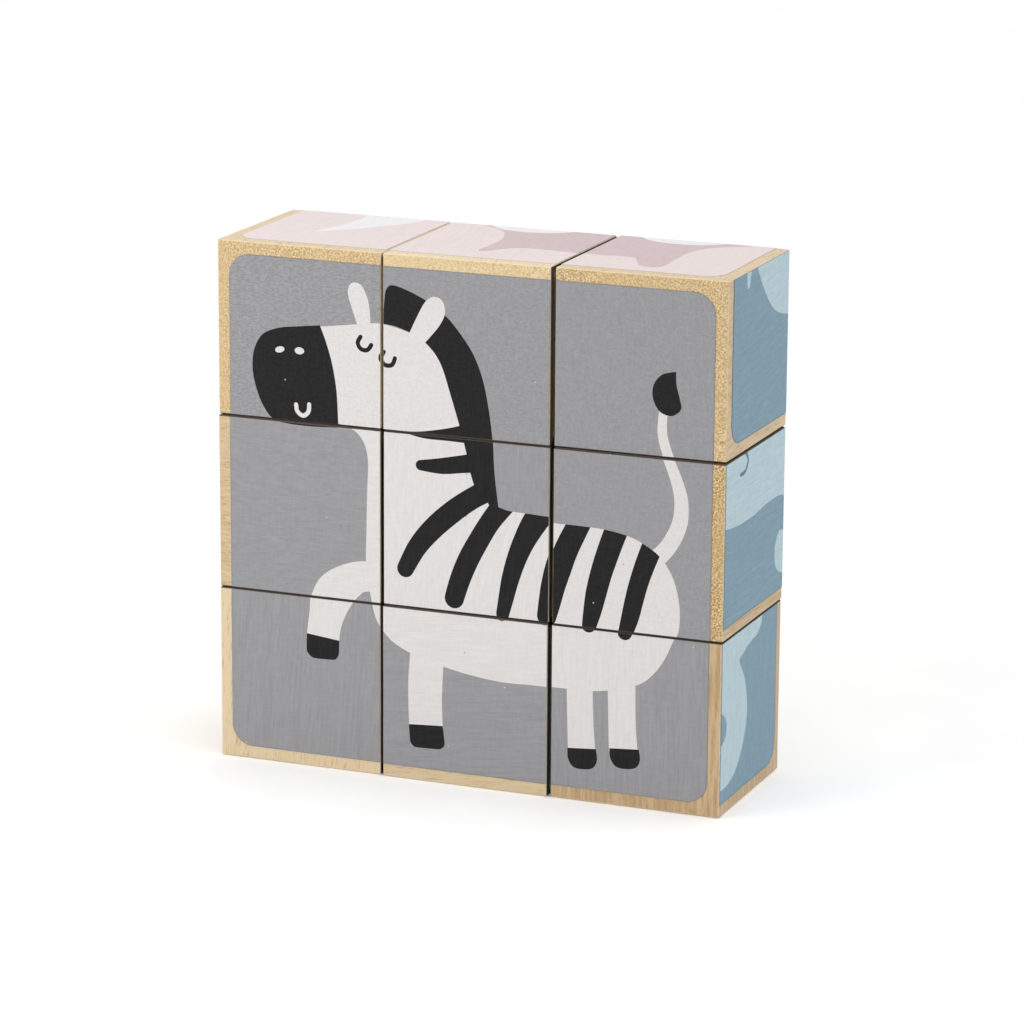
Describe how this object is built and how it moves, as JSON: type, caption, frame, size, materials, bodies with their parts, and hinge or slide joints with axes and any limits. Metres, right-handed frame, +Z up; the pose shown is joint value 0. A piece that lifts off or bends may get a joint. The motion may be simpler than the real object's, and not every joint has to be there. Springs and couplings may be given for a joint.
{
  "type": "picture cube puzzle",
  "caption": "Wooden picture cubes stacked on edge in a square grid; each cube face carries part of a different animal picture.",
  "frame": {"origin": "on the floor, below the middle of the stack of cubes", "axes": "+X to the right of the front picture, +Y away from the front picture to the back one, +Z up"},
  "size_m": [0.121, 0.0404, 0.12],
  "materials": {
    "wood": "sanded, matt clear lacquer",
    "front_print": "matt print with a fine irregular grain",
    "back_print": "matt print with a fine irregular grain",
    "upper_print": "matt print with a fine irregular grain",
    "lower_print": "matt print with a fine irregular grain",
    "side_print": "matt print with a fine irregular grain"
  },
  "bodies": {
    "block_top_left": {"cube_top_left": "wood", "front_picture_top_left": "front_print", "back_picture_top_left": "back_print", "upper_picture_top_left": "upper_print", "lower_picture_top_left": "lower_print", "side_pictures_top_left": "side_print"},
    "block_top_middle": {"cube_top_middle": "wood", "front_picture_top_middle": "front_print", "back_picture_top_middle": "back_print", "upper_picture_top_middle": "upper_print", "lower_picture_top_middle": "lower_print", "side_pictures_top_middle": "side_print"},
    "block_top_right": {"cube_top_right": "wood", "front_picture_top_right": "front_print", "back_picture_top_right": "back_print", "upper_picture_top_right": "upper_print", "lower_picture_top_right": "lower_print", "side_pictures_top_right": "side_print"},
    "block_centre_left": {"cube_centre_left": "wood", "front_picture_centre_left": "front_print", "back_picture_centre_left": "back_print", "upper_picture_centre_left": "upper_print", "lower_picture_centre_left": "lower_print", "side_pictures_centre_left": "side_print"},
    "block_centre_middle": {"cube_centre_middle": "wood", "front_picture_centre_middle": "front_print", "back_picture_centre_middle": "back_print", "upper_picture_centre_middle": "upper_print", "lower_picture_centre_middle": "lower_print", "side_pictures_centre_middle": "side_print"},
    "block_centre_right": {"cube_centre_right": "wood", "front_picture_centre_right": "front_print", "back_picture_centre_right": "back_print", "upper_picture_centre_right": "upper_print", "lower_picture_centre_right": "lower_print", "side_pictures_centre_right": "side_print"},
    "block_bottom_left": {"cube_bottom_left": "wood", "front_picture_bottom_left": "front_print", "back_picture_bottom_left": "back_print", "upper_picture_bottom_left": "upper_print", "lower_picture_bottom_left": "lower_print", "side_pictures_bottom_left": "side_print"},
    "block_bottom_middle": {"cube_bottom_middle": "wood", "front_picture_bottom_middle": "front_print", "back_picture_bottom_middle": "back_print", "upper_picture_bottom_middle": "upper_print", "lower_picture_bottom_middle": "lower_print", "side_pictures_bottom_middle": "side_print"},
    "block_bottom_right": {"cube_bottom_right": "wood", "front_picture_bottom_right": "front_print", "back_picture_bottom_right": "back_print", "upper_picture_bottom_right": "upper_print", "lower_picture_bottom_right": "lower_print", "side_pictures_bottom_right": "side_print"}
  },
  "joints": [
    {"name": "left_column_slide", "type": "slide", "parent": "block_bottom_middle", "child": "block_bottom_left", "axis": [-1, 0, 0], "range_m": [0, 0.045]},
    {"name": "right_column_slide", "type": "slide", "parent": "block_bottom_middle", "child": "block_bottom_right", "axis": [1, 0, 0], "range_m": [0, 0.045]},
    {"name": "centre_left_lift", "type": "slide", "parent": "block_bottom_left", "child": "block_centre_left", "axis": [0, 0, 1], "range_m": [0, 0.085]},
    {"name": "centre_middle_lift", "type": "slide", "parent": "block_bottom_middle", "child": "block_centre_middle", "axis": [0, 0, 1], "range_m": [0, 0.085]},
    {"name": "centre_right_lift", "type": "slide", "parent": "block_bottom_right", "child": "block_centre_right", "axis": [0, 0, 1], "range_m": [0, 0.085]},
    {"name": "top_left_lift", "type": "slide", "parent": "block_centre_left", "child": "block_top_left", "axis": [0, 0, 1], "range_m": [0, 0.045]},
    {"name": "top_middle_lift", "type": "slide", "parent": "block_centre_middle", "child": "block_top_middle", "axis": [0, 0, 1], "range_m": [0, 0.045]},
    {"name": "top_right_lift", "type": "slide", "parent": "block_centre_right", "child": "block_top_right", "axis": [0, 0, 1], "range_m": [0, 0.045]}
  ]
}
